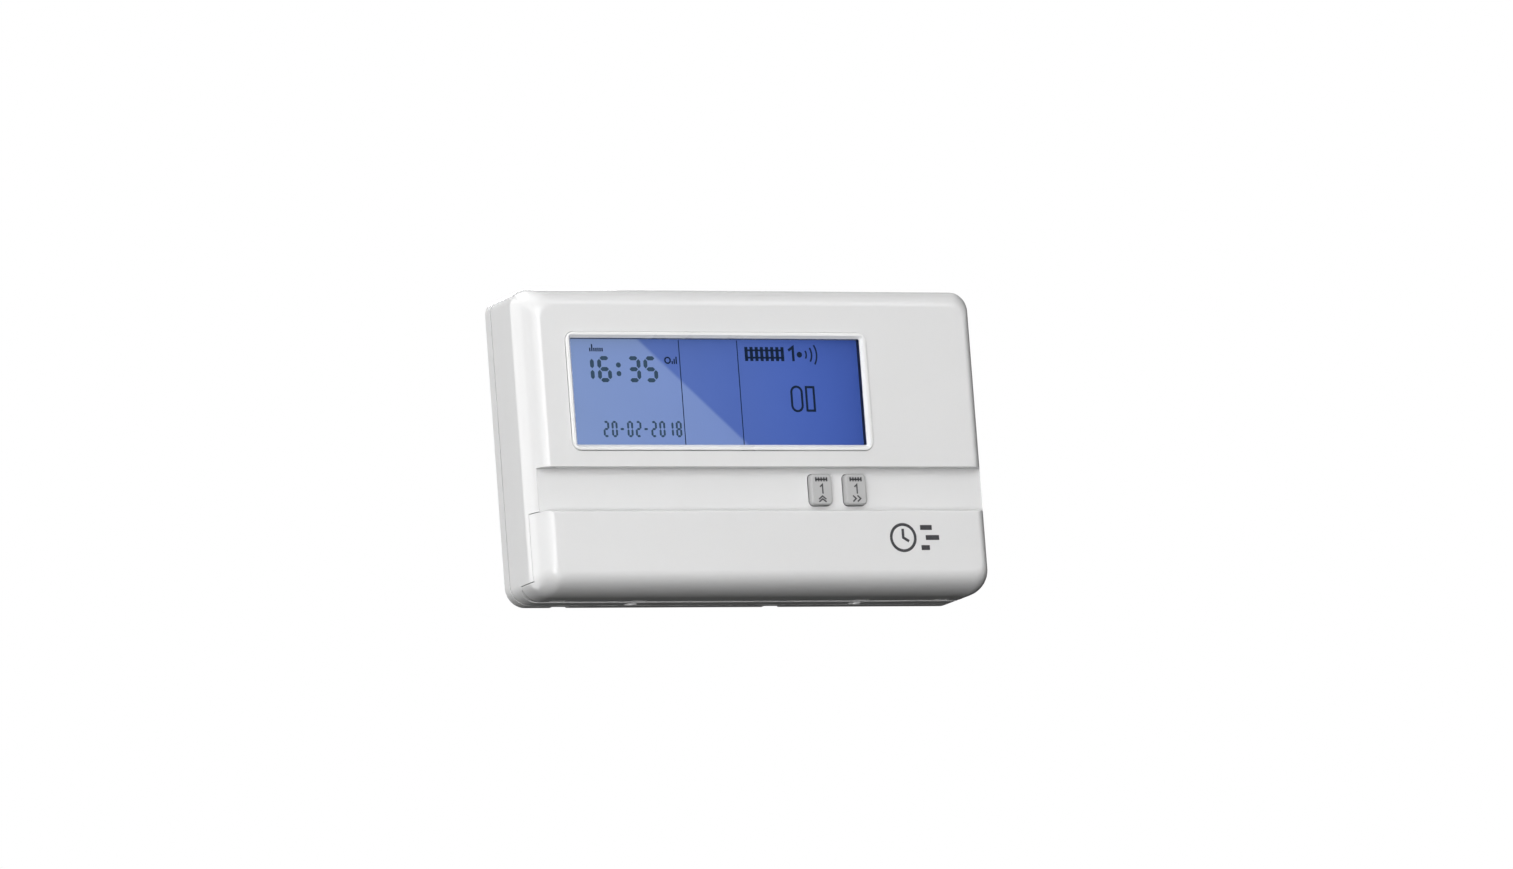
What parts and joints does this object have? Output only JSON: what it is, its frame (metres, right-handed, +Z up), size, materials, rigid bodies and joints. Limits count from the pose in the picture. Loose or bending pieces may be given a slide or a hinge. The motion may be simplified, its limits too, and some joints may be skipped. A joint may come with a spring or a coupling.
{
  "type": "heating programmer",
  "caption": "Wall-mounted electronic heating timer: pale casing with a blue backlit display, two front keys and a drop-down flap over setting keys, on a screw-terminal wall plate.",
  "frame": {"origin": "centre of the back, in the plane of the wall", "axes": "+Z up, +X to the right seen from the front, the front faces -Y"},
  "size_m": [0.161, 0.0317, 0.1],
  "materials": {
    "casing_white": "fine satin texture",
    "bezel_white": "smooth satin",
    "lens_clear": "clear polished acrylic",
    "lcd_blue": "backlit glass cell",
    "guide_white": "translucent acrylic",
    "holder_white": "matt",
    "strip_pink": "matt elastomer",
    "led_white": "clear over white",
    "board_green": "solder mask over glass fibre",
    "chip_black": "moulded epoxy",
    "switch_black": "moulded nylon",
    "steel": "zinc plated",
    "key_grey": "satin",
    "relay_blue": "moulded case",
    "capacitor_yellow": "moulded box",
    "sleeve_dark": "shrink sleeve",
    "winding_yellow": "polyester tape",
    "wire_red": "insulated wire",
    "brass": "bright",
    "phosphor_bronze": "bright",
    "plate_white": "matt"
  },
  "bodies": {
    "unit": {"front_cover": "casing_white", "rear_cover": "casing_white", "display_bezel": "bezel_white", "display_lens": "lens_clear", "lcd_glass": "lcd_blue", "light_guide": "guide_white", "lcd_holder": "holder_white", "contact_strips": "strip_pink", "backlight_leds": "led_white", "display_board": "board_green", "microcontroller": "chip_black", "tact_switches": "switch_black", "mode_switch": "steel", "coin_cell": "steel", "cell_holder": "switch_black", "rf_module": "board_green", "rf_antenna": "wire_red", "board_link": "switch_black", "power_board": "board_green", "relay": "relay_blue", "suppression_capacitor": "capacitor_yellow", "smoothing_capacitors": "sleeve_dark", "transformer": "winding_yellow", "fuse": "steel", "contact_blades": "brass", "case_screws": "steel", "board_screws": "steel", "wall_plate": "plate_white", "terminals": "brass", "terminal_screws": "steel", "contact_springs": "phosphor_bronze", "retaining_screws": "steel"},
    "flap": {"flap": "casing_white"},
    "boost_key": {"boost_button": "key_grey"},
    "advance_key": {"advance_button": "key_grey"},
    "minus_key": {"minus_button": "key_grey"},
    "plus_key": {"plus_button": "key_grey"},
    "ok_key": {"ok_button": "key_grey"},
    "day_key": {"day_button": "key_grey"},
    "copy_key": {"copy_button": "key_grey"},
    "holiday_key": {"holiday_button": "key_grey"},
    "reset_key": {"reset_button": "key_grey"},
    "mode_selector": {"mode_slider": "key_grey", "switch_lever": "switch_black"}
  },
  "joints": [
    {"name": "flap_hinge", "type": "hinge", "parent": "unit", "child": "flap", "pos_m": [0, -0.01225, -0.0482], "axis": [1, 0, 0], "range_deg": [0, 100]},
    {"name": "boost_press", "type": "slide", "parent": "unit", "child": "boost_key", "axis": [0, 1, 0], "range_m": [0, 0.0006], "stiffness_N_per_m": 60},
    {"name": "advance_press", "type": "slide", "parent": "unit", "child": "advance_key", "axis": [0, 1, 0], "range_m": [0, 0.0006], "stiffness_N_per_m": 60},
    {"name": "minus_press", "type": "slide", "parent": "unit", "child": "minus_key", "axis": [0, 1, 0], "range_m": [0, 0.0006], "stiffness_N_per_m": 60},
    {"name": "plus_press", "type": "slide", "parent": "unit", "child": "plus_key", "axis": [0, 1, 0], "range_m": [0, 0.0006], "stiffness_N_per_m": 60},
    {"name": "ok_press", "type": "slide", "parent": "unit", "child": "ok_key", "axis": [0, 1, 0], "range_m": [0, 0.0006], "stiffness_N_per_m": 60},
    {"name": "day_press", "type": "slide", "parent": "unit", "child": "day_key", "axis": [0, 1, 0], "range_m": [0, 0.0006], "stiffness_N_per_m": 60},
    {"name": "copy_press", "type": "slide", "parent": "unit", "child": "copy_key", "axis": [0, 1, 0], "range_m": [0, 0.0006], "stiffness_N_per_m": 60},
    {"name": "holiday_press", "type": "slide", "parent": "unit", "child": "holiday_key", "axis": [0, 1, 0], "range_m": [0, 0.0006], "stiffness_N_per_m": 60},
    {"name": "reset_press", "type": "slide", "parent": "unit", "child": "reset_key", "axis": [0, 1, 0], "range_m": [0, 0.0006], "stiffness_N_per_m": 60},
    {"name": "mode_slide", "type": "slide", "parent": "unit", "child": "mode_selector", "axis": [1, 0, 0], "range_m": [-0.006, 0.006]}
  ]
}
